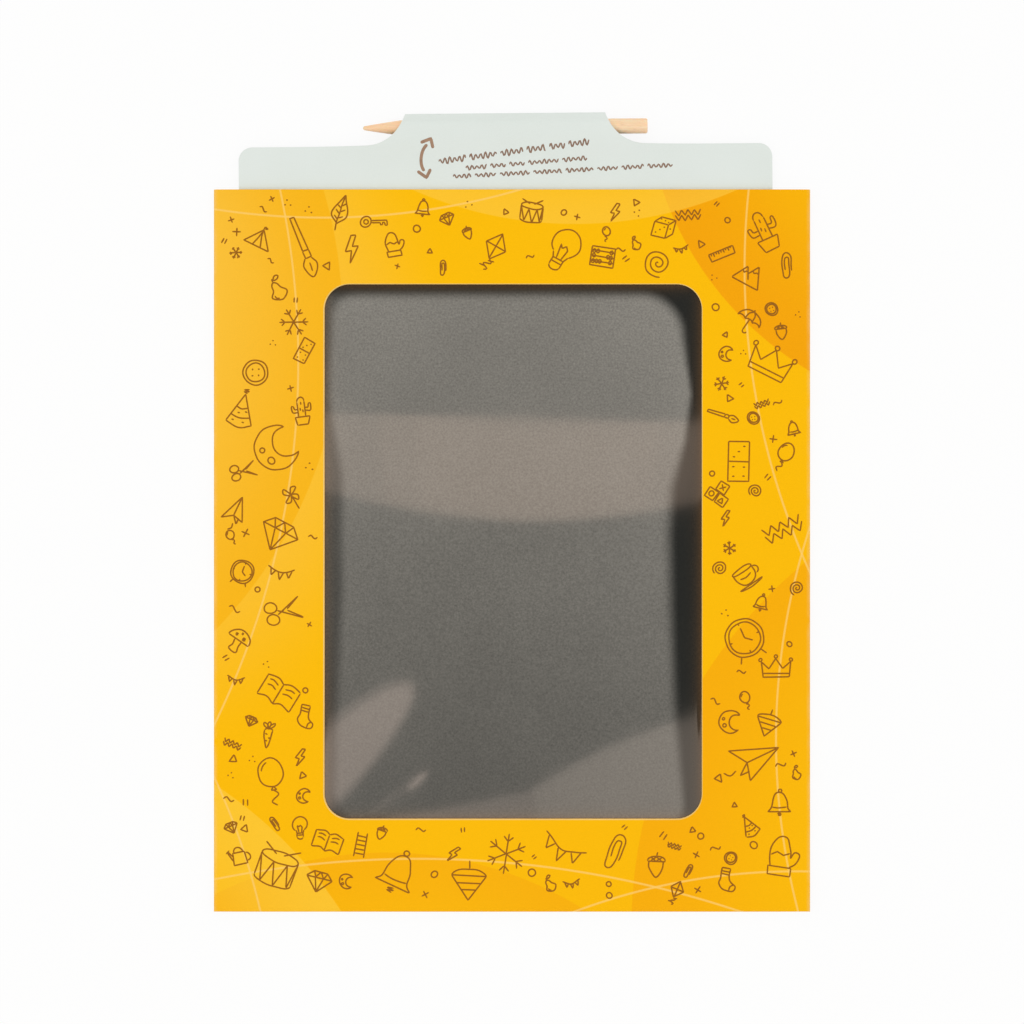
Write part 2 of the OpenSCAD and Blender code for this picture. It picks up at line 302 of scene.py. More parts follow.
def satinPrint():
    # offset print under a satin film: inks with a faint grain and a soft wide gloss, a painted sheen paler towards
    # the left and a painted highlight pale along the side folds
    material, add, place = newMaterial("offsetPrintSatinLaminate")
    alongX, alongY, _ = add("SeparateXYZ", place).node.outputs
    flat = add("CombineXYZ", alongX, alongY)
    # painted sheen: the ground is paler towards the left
    away = add("VectorMath", flat, printed["sheenAt"], operation="DISTANCE")
    across = add("MapRange", away, *printed["sheenReach"], interpolation_type="SMOOTHSTEP")
    ground = add("Mix", across, linear(printed["paintedSheen"]), linear(printed["plain"]), data_type="RGBA")
    down = add("MapRange", alongY, *printed["warmY"], 0, printed["warmShare"])
    drift = add("TexNoise", flat, 1 / printed["drift"], Detail=1.0)
    lower = add("Math", down, drift, operation="MULTIPLY")
    ground = add("Mix", lower, ground, linear(printed["warm"]), data_type="RGBA")
    soft = printed["edgeSoft"]
    for x, y, radius, fade, colour, strength in printed["fields"]:
        away = add("VectorMath", flat, (x, y, 0), operation="DISTANCE")
        rise = add("MapRange", away, radius - fade, radius, 0, strength, interpolation_type="SMOOTHSTEP")
        cut = add("MapRange", away, radius + soft, radius - soft)
        share = add("Math", rise, cut, operation="MULTIPLY")
        ground = add("Mix", share, ground, linear(colour), data_type="RGBA")
    half = printed["lineHalf"]
    soft = printed["lineSoft"]
    for x, y, radius in printed["arcs"]:
        away = add("VectorMath", flat, (x, y, 0), operation="DISTANCE")
        off = add("Math", away, radius, operation="SUBTRACT")
        gap = add("Math", off, operation="ABSOLUTE")
        share = add("MapRange", gap, half + soft, half - soft, 0, printed["lineShare"])
        ground = add("Mix", share, ground, linear(printed["line"]), data_type="RGBA")
    # ink grain of 0.3 mm, drawn coarser than a real screen of about 0.15 mm
    grain = add("TexNoise", place, 1 / printed["grain"], Detail=2.0)
    tone = add("MapRange", grain, *printed["grainFrom"], *printed["grainTone"])
    inked = add("VectorMath", ground, tone, operation="SCALE")
    # painted highlight on the folds: paler where the card turns over its sides, in patches
    aside = add("Math", alongX, operation="ABSOLUTE")
    edge = add("MapRange", aside, *printed["foldSheenX"], interpolation_type="SMOOTHSTEP")
    patches = add("TexNoise", place, 1 / printed["foldSheenPatch"], Detail=4.0)
    foldSheen = add("MapRange", patches, *printed["foldSheenFrom"], 0, printed["foldSheenShare"])
    foldShine = add("Math", edge, foldSheen, operation="MULTIPLY")
    face = add("Mix", foldShine, inked, linear(printed["foldSheen"]), data_type="RGBA")
    rough = add("MapRange", patches, 0, 1, *printed["roughness"])
    bump = add("Bump", printed["grainRelief"], printed["grainDepth"] * mm, Height=grain)
    add("OutputMaterial", add("BsdfPrincipled", face, Roughness=rough, Normal=bump, **printed["gloss"]))
    return material


printFace = satinPrint()
print("card and print materials made")


# Sleeve front: one card, the panel round the window and its three sides folded round to the back

sleeve = {
    "windowHalf": (60.0, 85.0), "windowShift": (0.4, -0.2), "windowRadius": 8.0, "card": 0.7,
    "foldRadius": 1.2, "foldSteps": 6, "flap": 12.0, "flapMiddle": 4.0, "cutBevel": 0.45, "cutLeast": 0.45,
    "sideDrop": 0.28, "dropReach": 15.0, "rows": 26, "sideSteps": 44, "cornerSteps": 10,
}
wrapLow, wrapHigh = boxOf("front_wrap")
foldX = wrapHigh[0] - sleeve["foldRadius"]
foldY = wrapLow[1] + sleeve["foldRadius"]


def panelTop(x):
    # the panel's face: level, and easing down towards the two side folds as the square of the reach
    reached = (np.abs(x) - (foldX - sleeve["dropReach"])) / sleeve["dropReach"]
    return wrapHigh[2] - sleeve["sideDrop"] * np.clip(reached, 0, 1) ** 2


def roundCut(piece, loop):
    # a bevel along the window's edge, the first points of the piece: full where the edge runs down the left
    # or along the foot, easing to the least share up the right and along the top
    ahead = np.roll(loop, -1, axis=0) - loop
    facing = (ahead[:, 0] - ahead[:, 1]) / np.linalg.norm(ahead, axis=1)
    share = sleeve["cutLeast"] + (1 - sleeve["cutLeast"]) * smooth((1 + facing) / 2)
    ends = np.empty(len(piece.data.edges) * 2, np.int32)
    piece.data.edges.foreach_get("vertices", ends)
    ends = ends.reshape(-1, 2)
    onWindow = np.all(ends < len(loop), axis=1)
    start = np.where(np.ptp(ends, axis=1) == 1, ends.min(axis=1), ends.max(axis=1))  # the last edge ends at 0
    weight = piece.data.attributes.new("bevel_weight_edge", "FLOAT", "EDGE")
    weight.data.foreach_set("value", np.where(onWindow, share[start % len(loop)], 0).astype(np.float32))
    cut = piece.modifiers.new("cutEdge", "BEVEL")
    cut.width = sleeve["cutBevel"] * mm
    cut.segments = 2
    cut.use_clamp_overlap = False
    cut.limit_method = "WEIGHT"
    cut.material = 2  # bare board


def sleeveFront():
    # panel: straight lines from the window's loop out to the fold lines and the mouth;
    # sides: a quarter circle, a wall, a quarter circle and a flat flap, carried along left, foot and right
    halfX, halfY = sleeve["windowHalf"]
    radius = sleeve["windowRadius"]
    mouth = wrapHigh[1]
    insetX = halfX - radius
    insetY = halfY - radius
    steps = sleeve["cornerSteps"]
    head = fillet([(foldX, insetY), (foldX, mouth), (insetX, mouth)], [0], steps)
    foot = fillet([(insetX, foldY), (foldX, foldY), (foldX, -insetY)], [0], steps)
    sides = [np.linspace(0, 1, sleeve["sideSteps"] + 1)] * 4
    inner, outer = ringLoops((-halfX, -halfY, halfX, halfY), radius, head, foot, sides)
    first = 2 * sleeve["sideSteps"] + 3 * steps  # the mouth's left corner starts the loops
    inner = np.roll(inner, -first, axis=0) + sleeve["windowShift"]  # cut a little off the middle
    outer = np.roll(outer, -first, axis=0)
    plan = spokes(inner, outer, sleeve["rows"])
    panel = np.dstack([plan, panelTop(plan[:, :, 0])])

    folded = 3 * sleeve["sideSteps"] + 6 * steps + 1  # points from the mouth's left corner to its right one
    path = outer[:folded]
    x, y = path.T
    outward = np.stack([1.0 * (x >= foldX - hair) - (x <= hair - foldX), -1.0 * (y <= foldY + hair)], axis=-1)
    turn = np.radians(np.linspace(0, 90, sleeve["foldSteps"] + 1))
    bend = sleeve["foldRadius"]
    upper = sleeve["foldSteps"]  # rows of the upper quarter circle, then the lower one, and two of the flap
    away = np.concatenate([bend * np.sin(turn)[1:], bend * np.cos(turn),
                           [-sleeve["flapMiddle"], bend - sleeve["flap"]]])
    climb = bend * np.concatenate([np.cos(turn)[1:], 1 - np.sin(turn), [0, 0]])[:, None]
    top = panelTop(x) - bend + climb
    height = np.where(np.arange(len(away))[:, None] < upper, top, wrapLow[2] + climb)
    folds = np.dstack([path + outward * away[:, None, None], height])

    points, faces = ringAndStrips(panel, [(0, folds)])
    piece = newPiece("sleeveFront", points, faces, [printFace, boardInside, boardCore])
    wall = thicken(piece, sleeve["card"], -1)
    wall.material_offset = 1  # the reverse
    wall.material_offset_rim = 2  # the cut edge
    roundCut(piece, inner)
    settle(piece)
    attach(piece, "sleeve")
    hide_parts("front_wrap")


sleeveFront()
print("sleeve front folded")


# Writing film: grey, darkened to near black round the margins by painted shade

film = {
    "sheet": 0.1, "step": 1.0, "bow": 0.36, "bowTop": 43.0, "bowMiddle": -15.0,
    "bowReach": (62.0, 65.0), "bowSkew": 0.25, "tuck": (58.6, 60.6), "tuckSteps": 9,
    # clear is painted shade for the margins, near black; the next colour is the film's own grey
    "clear": "#1a1b17", "unshaded": "#7b7871", "grain": 0.65, "grainFrom": (0.25, 0.75), "grainTone": (0.7, 1.3),
    "cloud": 30, "cloudFrom": (0.3, 0.7), "cloudTone": (0.95, 1.05), "ior": 1.53,
    "sheetTone": 0.8, "toneClimb": 0.0036, "toneAside": 0.085, "toneSkew": 0.035, "asideReach": 45.0,
    "gloss": (0.02, 0.05), "marginDullFrom": (0.3, 0.5), "marginDullGloss": 0.015,
    "left": [  # y, margin
        (-85, 3.5), (-48, 4.6), (-13, 6.1), (4, 5.9), (18, 6.0), (24, 6.0), (30, 5.0), (41, 2.9), (48, 1.9),
        (58, 2.0), (73, 2.8)],
    "right": [(-85, 5.0), (-50, 8.3), (-20, 9.5), (6, 10.2), (20, 9.2), (35, 5.0), (50, 3.0), (68, 5.6)],
    "top": 3.4, "foot": -3.0, "leftTop": 2.5, "leftSoft": 4.0, "leftFloor": 0.36, "rightSoft": (0.6, 0.5),
    "topSoft": 5.0, "topSoftY": (55.0, 80.0),
    "cornerTopLeft": 9.0, "cornerFootLeft": 12.0, "cornerTopRight": 14.0, "cornerFootRight": 8.0,
    # painted reflection of the yellow card, brownish, along the window's edges
    "cardReflection": 0.2, "cardReflectionReach": 1.3, "cardReflectionColour": "#a8742a",
}


def vinylWithPaintedShade():
    # calendered vinyl over waxed board: hazy grey with the wax's fine speckle and a sharp window gloss; painted
    # shade takes it near black round the margins, where the gloss is duller, and a painted reflection of the
    # yellow card browns its edges
    material, add, place = newMaterial("calenderedVinylOverWax")
    speckle = add("TexNoise", place, 1 / film["grain"], Detail=3.0, Roughness=0.7)
    clouds = add("TexNoise", place, 1 / film["cloud"], Detail=3.0)
    # share of the film left unshaded; the rest takes the painted margin shade
    notShaded = add("Attribute", attribute_name="unshaded").node.outputs["Fac"]
    reflected = add("Attribute", attribute_name="cardReflection").node.outputs["Fac"]
    fine = add("MapRange", speckle, *film["grainFrom"], *film["grainTone"])
    broad = add("MapRange", clouds, *film["cloudFrom"], *film["cloudTone"])
    tone = add("Math", fine, broad, operation="MULTIPLY")
    # painted shade: near black round the margins, the film's own grey elsewhere
    base = add("Mix", notShaded, linear(film["clear"]), linear(film["unshaded"]), data_type="RGBA",
               clamp_factor=False)
    # painted reflection of the yellow card along the window's edges
    base = add("Mix", reflected, base, linear(film["cardReflectionColour"]), data_type="RGBA")
    speckled = add("VectorMath", base, tone, operation="SCALE")
    rough = add("MapRange", clouds, 0, 1, *film["gloss"])
    # a duller gloss round the margins, following the painted shade's mask
    marginDull = add("MapRange", notShaded, *film["marginDullFrom"], film["marginDullGloss"], 0)
    rough = add("Math", rough, marginDull, operation="ADD")
    add("OutputMaterial", add("BsdfPrincipled", speckled, Roughness=rough, IOR=film["ior"]))
    return material


def inCorner(a, b, radius):  # distance inside two sides that meet in a round corner
    return radius - np.hypot(np.maximum(radius - a, 0), np.maximum(radius - b, 0))


def unshadedMap(x, y):
    # share of the film left unshaded, the rest taking painted shade round the margins: a tone that grows lighter
    # up the sheet and towards its sides, times one eased step at the right, top and corners and a shallower one at
    # the left
    halfX, halfY = sleeve["windowHalf"]
    aside = x / film["asideReach"]
    sheetTone = film["sheetTone"] + film["toneClimb"] * y
    sheetTone = sheetTone * (1 + film["toneAside"] * aside ** 2 + film["toneSkew"] * aside)
    leftMargin = np.interp(y, *zip(*film["left"]))
    rightMargin = np.interp(y, *zip(*film["right"]))
    fromLeft = x + halfX - leftMargin
    fromRight = halfX - x - rightMargin
    fromTop = halfY - y
    fromFoot = y + halfY - film["foot"]
    right = np.minimum(inCorner(fromRight, fromTop - film["top"], film["cornerTopRight"]),
                       inCorner(fromRight, fromFoot, film["cornerFootRight"]))
    left = np.minimum(inCorner(fromLeft, fromTop - film["leftTop"], film["cornerTopLeft"]),
                      inCorner(fromLeft, fromFoot, film["cornerFootLeft"]))
    least, share = film["rightSoft"]
    soft = least + share * rightMargin
    low, high = film["topSoftY"]
    soft = soft + (film["topSoft"] - soft) * smooth((y - low) / (high - low))
    unshadedRight = smooth(right / soft + 0.5)
    unshadedLeft = film["leftFloor"] + (1 - film["leftFloor"]) * smooth(left / film["leftSoft"] + 0.5)
    return sheetTone * unshadedRight * unshadedLeft


def cardReflectionMap(x, y):  # painted reflection of the yellow card on the film, most along the window's edges and thinning out from them
    halfX, halfY = sleeve["windowHalf"]
    shiftX, shiftY = sleeve["windowShift"]
    fromEdge = np.minimum(halfX - np.abs(x - shiftX), halfY - np.abs(y - shiftY))
    return film["cardReflection"] * np.exp(-np.maximum(fromEdge, 0) / film["cardReflectionReach"])


def writingFilm():
    # a level sheet that bows up in the lower middle: half cosines along, and half parabolas across, the
    # left one skewed, which ease down under the card at the window's sides
    low, high = boxOf("writing_film")
    x, y = (np.linspace(low[k], high[k], round((high[k] - low[k]) / film["step"]) + 1) for k in (0, 1))
    inside, under = film["tuck"]
    tuck = np.linspace(inside, under, film["tuckSteps"])
    plain = x[(np.abs(x) < inside) | (np.abs(x) > under)]
    x, y = np.meshgrid(np.sort(np.concatenate([plain, tuck, -tuck])), y)
    halfX, halfY = sleeve["windowHalf"]
    upper = np.clip((y - film["bowMiddle"]) / (film["bowTop"] - film["bowMiddle"]), 0, 1)
    lower = np.clip((film["bowMiddle"] - y) / (film["bowMiddle"] + halfY), 0, 1)
    lengthways = (1 + np.cos(math.pi * np.maximum(upper, lower))) / 2
    across = x / np.where(x < 0, *film["bowReach"])
    crossways = np.clip(1 - across ** 2, 0, 1) * (1 + film["bowSkew"] * np.minimum(x, 0) / halfX)
    crossways = crossways * smooth((under - np.abs(x)) / (under - inside))
    z = high[2] + film["bow"] * lengthways * crossways
    piece = newPiece("writingFilm", np.dstack([x, y, z]), gridFaces(*x.shape)[:, ::-1], [vinylWithPaintedShade()])
    # the share left unshaded by painted shade, and the painted reflection of the card, as point attributes
    for name, values in (("unshaded", unshadedMap(x, y)), ("cardReflection", cardReflectionMap(x, y))):
        share = piece.data.attributes.new(name, "FLOAT", "POINT")
        share.data.foreach_set("value", values.ravel().astype(np.float32))
    thicken(piece, film["sheet"], -1)
    settle(piece)
    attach(piece, "sleeve")
    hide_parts("writing_film")


writingFilm()
print("film laid in the window")


# Slider: one mint card, cut to a frame with an eared bar, its tab folded back round the stylus

slider = {
    "leanPivotY": -114.3, "half": 85.0, "footY": -113.21, "barTopY": -99.21, "headY": 88.0, "railHalf": 63.0,
    "openRadius": 8.0, "earHalf": 90.7, "earRadius": 2.0, "shoulderY": 129.2, "shoulderRadius": 4.3,
    "tabFootHalf": 44.5, "tabCurve": 13.0, "tabTopY": 139.4, "card": 0.5, "faceZ": 2.2,
    "liftY": 117.5, "liftFullX": 36.0, "liftEndX": 64.0,
    "loopY": 134.9, "loopZ": 3.05, "loopRadius": 2.8, "creaseY": 138.85, "creaseZ": 2.45, "creaseRadius": 0.3,
    "backFootZ": 1.6, "flapEndY": 117.5, "rows": 44, "cornerSteps": 8, "sideSteps": 40, "shoulderSteps": 6,
    "earRows": 5, "tabColumns": 60, "climbRows": 17, "loopPoints": 9, "downRows": 3,
}
leanAxis = next(joint["axis"] for joint in frame["joints"] if joint["name"] == "stylus_pull")
lean = math.atan2(leanAxis[1], leanAxis[0])


def leaning(points):  # turn by the slider's lean about the middle of its foot
    x = points[..., 0]
    y = points[..., 1] - slider["leanPivotY"]
    leant = np.array(points, float)
    leant[..., 0] = x * math.cos(lean) - y * math.sin(lean)
    leant[..., 1] = x * math.sin(lean) + y * math.cos(lean) + slider["leanPivotY"]
    return leant


def sliderLift(x, y):
    # height of the card's middle: level, then a half cosine up to the top of the stylus's loop,
    # eased out to level at the shoulders
    crest = slider["loopZ"] + slider["loopRadius"] - slider["faceZ"]
    along = np.clip((y - slider["liftY"]) / (slider["loopY"] - slider["liftY"]), 0, 1)
    rise = crest * (1 - np.cos(math.pi * along)) / 2
    ease = smooth((slider["liftEndX"] - np.abs(x)) / (slider["liftEndX"] - slider["liftFullX"]))
    return slider["faceZ"] + rise * ease


def tabHalf(y):  # the tab's half width: hollow quarter circles from its foot up
    climb = np.clip(y - slider["shoulderY"], 0, slider["tabTopY"] - slider["shoulderY"])
    hollow = slider["tabCurve"]
    return slider["tabFootHalf"] - np.sqrt(hollow ** 2 - (hollow - climb) ** 2)


def tabPath():
    # rows of the tab as (y, z): up to the loop's top, over it, down its tangent, round the crease,
    # back under the loop, and flat along the back to the flap's end
    hollow = slider["tabCurve"]
    top = math.acos(1 - (slider["loopY"] - slider["shoulderY"]) / hollow)
    y = slider["shoulderY"] + hollow * (1 - np.cos(np.linspace(0, top, slider["climbRows"] + 1)[1:]))
    climb = np.stack([y, sliderLift(0 * y, y)], axis=-1)
    loop = np.array([slider["loopY"], slider["loopZ"]])
    crease = np.array([slider["creaseY"], slider["creaseZ"]])
    foot = np.array([slider["shoulderY"], slider["backFootZ"]])
    apart = crease - loop
    heading = math.degrees(math.atan2(apart[1], apart[0]))
    swing = math.degrees(math.acos((slider["loopRadius"] - slider["creaseRadius"]) / np.linalg.norm(apart)))
    toFoot = loop - foot
    graze = math.degrees(math.asin(slider["loopRadius"] / np.linalg.norm(toFoot)))
    leave = math.degrees(math.atan2(toFoot[1], toFoot[0])) - graze - 90
    count = slider["loopPoints"]
    over = onCircle(loop, slider["loopRadius"], 90, heading + swing, count)[1:]
    fold = onCircle(crease, slider["creaseRadius"], heading + swing, heading - swing, count)
    under = onCircle(loop, slider["loopRadius"], heading - swing, leave, count)
    down = over[-1] + (fold[0] - over[-1]) * np.linspace(0, 1, slider["downRows"] + 2)[1:-1, None]
    flap = np.array([slider["flapEndY"], slider["backFootZ"]])
    rows = np.vstack([climb, over, down, fold, under, foot, flap])
    front = len(climb) + len(over) + len(down) + len(fold) // 2
    half = tabHalf(np.where(np.arange(len(rows)) < front, rows[:, 0], slider["tabTopY"]))
    return rows, half


def sliderCard():
    # frame: straight lines from the opening out to the outline; tab and ears: grids that go on from the
    # outline, the tab's along its path and the ears' out to round corners
    inset = slider["railHalf"] - slider["openRadius"]
    high = slider["headY"] - slider["openRadius"]
    low = slider["barTopY"] + slider["openRadius"]
    side = slider["half"]
    foot = slider["footY"]
    barTop = slider["barTopY"]
    shoulder = slider["shoulderY"]
    steps = slider["cornerSteps"]
    rise = (1 - np.cos(np.linspace(0, math.pi, 3 * steps + 1)))[:, None] / 2  # closer at the ear's corners
    earY = foot + (barTop - foot) * rise
    bar = np.vstack([fillet([(inset, foot), (side, foot)], [], steps)[:-1],
                     np.hstack([0 * earY + side, earY]),
                     fillet([(side, barTop), (side, low)], [], steps)[1:]])
    head = fillet([(side, high), (side, shoulder), (inset, shoulder)], [slider["shoulderRadius"]], steps)
    tab = slider["tabFootHalf"]
    columns = slider["tabColumns"]
    beside = np.linspace(inset, tab, slider["shoulderSteps"] + 1)[:-1]
    along = np.concatenate([beside, np.linspace(tab, -tab, columns + 1), -beside[::-1]])
    plain = np.linspace(0, 1, slider["sideSteps"] + 1)
    stations = [plain, (inset - along) / (2 * inset), plain, plain]
    opening = (-slider["railHalf"], barTop, slider["railHalf"], slider["headY"])
    inner, outer = ringLoops(opening, slider["openRadius"], head, bar, stations)
    plan = spokes(inner, outer, slider["rows"])
    ring = np.dstack([plan, sliderLift(plan[:, :, 0], plan[:, :, 1])])

    rows, half = tabPath()
    tabX = half[:, None] * np.linspace(1, -1, columns + 1)
    tabY = rows[:, :1] + 0 * tabX
    front = np.arange(len(rows))[:, None] < slider["climbRows"]
    tabGrid = np.dstack([tabX, tabY, np.where(front, sliderLift(tabX, tabY), rows[:, 1:])])

    past = np.abs(earY[:, 0] - (foot + barTop) / 2) - (barTop - foot) / 2 + slider["earRadius"]
    corner = np.sqrt(np.maximum(slider["earRadius"] ** 2 - np.maximum(past, 0) ** 2, 0))
    width = slider["earHalf"] - side - slider["earRadius"] + corner
    earX = side + width * np.linspace(0, 1, slider["earRows"] + 1)[1:, None]
    earGrid = np.dstack([earX, earY[:, 0] + 0 * earX, slider["faceZ"] + 0 * earX])

    tabStart = slider["sideSteps"] + len(head) - 1 + slider["shoulderSteps"]
    rightEar = len(outer) - len(bar) + 1 + steps
    leftEar = rightEar - slider["sideSteps"] - len(bar) + 1
    strips = [(tabStart, tabGrid), (leftEar, earGrid[:, ::-1] * (-1, 1, 1)), (rightEar, earGrid)]
    points, faces = ringAndStrips(ring, strips)
    piece = newPiece("sliderCard", leaning(points), faces, [mintCard])
    thicken(piece, slider["card"], 0)
    settle(piece)
    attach(piece, "slider")
    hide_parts("slider_card")


sliderCard()
print("slider cut and folded")


# Stylus: a turned wooden stick with a blunt point to the left

stylus = {
    "length": 90.5, "diameter": 4.8, "point": 12.0, "tip": 1.3, "tipTurn": 78, "chamfer": 0.3,
    "coneBulge": 0.92, "facets": 3, "facetDepth": 0.006, "facetRun": 9, "sides": 48,
    "tipPoints": 6, "conePoints": 14, "shankPoints": 60, "poleWeld": 0.002,
    "light": "#fee0bc", "dark": "#f6cea4", "grain": (0.05, 1.6, 1.6), "grainFrom": (0.35, 0.7),
    "pore": "#c9925f", "pores": (0.5, 5.0, 5.0), "poreFrom": (0.6, 0.78), "poreShare": 0.5,
    "cut": "#f3bd8a", "cutShare": 0.3, "cutSoft": 1.0, "relief": 0.25, "reliefDepth": 0.05,
    "gloss": {"Roughness": 0.6, "IOR": 1.5, "Subsurface Weight": 0.5, "Subsurface Radius": (1.0, 0.6, 0.35),
              "Subsurface Scale": 1.2 * mm},
}


def sandedDowel():
    # limewood dowel, sanded along its length: pale, with thin darker grain lines and small pores, warmer on
    # the cut cone, its shaded side softened by light that sinks in
    material, add, place = newMaterial("limewoodSandedDowel")
    grain = add("TexNoise", add("Mapping", place, Scale=stylus["grain"]), 1.0, Detail=5.0, Roughness=0.6)
    pores = add("TexNoise", add("Mapping", place, Scale=stylus["pores"]), 1.0, Detail=2.0)
    amount = add("MapRange", grain, *stylus["grainFrom"])
    tint = add("Mix", amount, linear(stylus["light"]), linear(stylus["dark"]), data_type="RGBA")
    deep = add("MapRange", pores, *stylus["poreFrom"], 0, stylus["poreShare"])
    tint = add("Mix", deep, tint, linear(stylus["pore"]), data_type="RGBA")
    shoulder = stylus["point"] - stylus["length"] / 2
    along = add("SeparateXYZ", place)
    cone = add("MapRange", along, shoulder - stylus["cutSoft"], shoulder, stylus["cutShare"], 0)
    tint = add("Mix", cone, tint, linear(stylus["cut"]), data_type="RGBA")
    bump = add("Bump", stylus["relief"], stylus["reliefDepth"] * mm, Height=grain)
    add("OutputMaterial", add("BsdfPrincipled", tint, Normal=bump, **stylus["gloss"]))
    return material


def woodenStylus():
    # a radius carried round a straight axis: a rounded tip, a cone, a straight shank and a chamfered end
    end = stylus["length"] / 2
    radius = stylus["diameter"] / 2
    tip = stylus["tip"] / 2
    chamfer = stylus["chamfer"]
    turn = np.radians(np.linspace(0, stylus["tipTurn"], stylus["tipPoints"]))
    cone = np.linspace(0, 1, stylus["conePoints"])[1:]
    shank = np.linspace(stylus["point"] - end, end - chamfer, stylus["shankPoints"])[1:]
    along = np.concatenate([-end + tip * (1 - np.cos(turn)), -end + tip + (stylus["point"] - tip) * cone,
                            shank, [end, end]])
    size = np.concatenate([tip * np.sin(turn), tip + (radius - tip) * cone ** stylus["coneBulge"],
                           np.full(len(shank), radius), [radius - chamfer, 0]])
    angle = np.linspace(0, 2 * math.pi, stylus["sides"], endpoint=False)
    wave = np.sin(along / stylus["facetRun"])[:, None]
    facet = 1 + stylus["facetDepth"] * np.cos(stylus["facets"] * angle) * wave  # not quite round, as turned
    r = size[:, None] * facet
    points = np.dstack([along[:, None] + 0 * r, slider["loopY"] + r * np.cos(angle),
                        slider["loopZ"] + r * np.sin(angle)])
    faces = gridFaces(*r.shape, closed=True)[:, ::-1]
    piece = newPiece("woodenStylus", leaning(points), faces, [sandedDowel()])
    weld = piece.modifiers.new("poles", "WELD")
    weld.merge_threshold = stylus["poleWeld"] * mm
    settle(piece)
    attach(piece, "stylus")
    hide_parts("stylus")


woodenStylus()
print("stylus turned")


# Line drawings on the sleeve, each a list of strokes in a square from -100 to 100

def line(*points):  # straight strokes from point to point, x and y in turn
    return np.reshape(points, (-1, 2)).astype(float)


def box(x0, y0, x1, y1):
    return line(x0, y0, x1, y0, x1, y1, x0, y1, x0, y0)


def arc(x, y, wide, tall=None, start=0, end=360):  # part of an ellipse or a circle, a point every 9 degrees
    return onCircle((x, y), (wide, tall or wide), start, end, max(7, abs(end - start) // 9))


def curve(*points, steps=8):  # a smooth stroke: a cubic between each two points, with its neighbours' slope
    knots = line(*points)
    ring = np.allclose(knots[0], knots[-1])
    before = knots[-2:-1] if ring else 2 * knots[:1] - knots[1:2]
    after = knots[1:2] if ring else 2 * knots[-1:] - knots[-2:-1]
    knots = np.vstack([before, knots, after])
    a, b, c, d = (knots[k:len(knots) - 3 + k, None] for k in range(4))
    t = np.linspace(0, 1, steps, endpoint=False)[:, None]
    spans = b + ((c - a) * t + (2 * a - 5 * b + 4 * c - d) * t ** 2 + (3 * b - a - 3 * c + d) * t ** 3) / 2
    return np.vstack([spans.reshape(-1, 2), knots[-2:-1]])


def dot(x, y, half=6):  # a small filled spot: a dash about as long as the pen is wide
    return line(x - half, y, x + half, y)


def blot(x, y, wide, tall, row=5):  # a patch filled by one stroke to and fro, in rows closer than the pen
    rise = np.arange(-0.85, 0.9, row / tall)
    reach = wide * np.sqrt(1 - rise ** 2) * (-1) ** np.arange(len(rise))
    return np.stack([x + reach, y + tall * rise], axis=-1)


def turned(stroke, degrees):  # a stroke turned anticlockwise round the middle
    turn = math.radians(degrees)
    return stroke @ np.array([(math.cos(turn), math.sin(turn)), (-math.sin(turn), math.cos(turn))])


def flip(*strokes):  # the strokes and their mirror images
    return [stroke * (side, 1) for stroke in strokes for side in (1, -1)]


def fan(count, *strokes):  # the strokes turned round the middle
    return [turned(stroke, 360 * k / count) for stroke in strokes for k in range(count)]


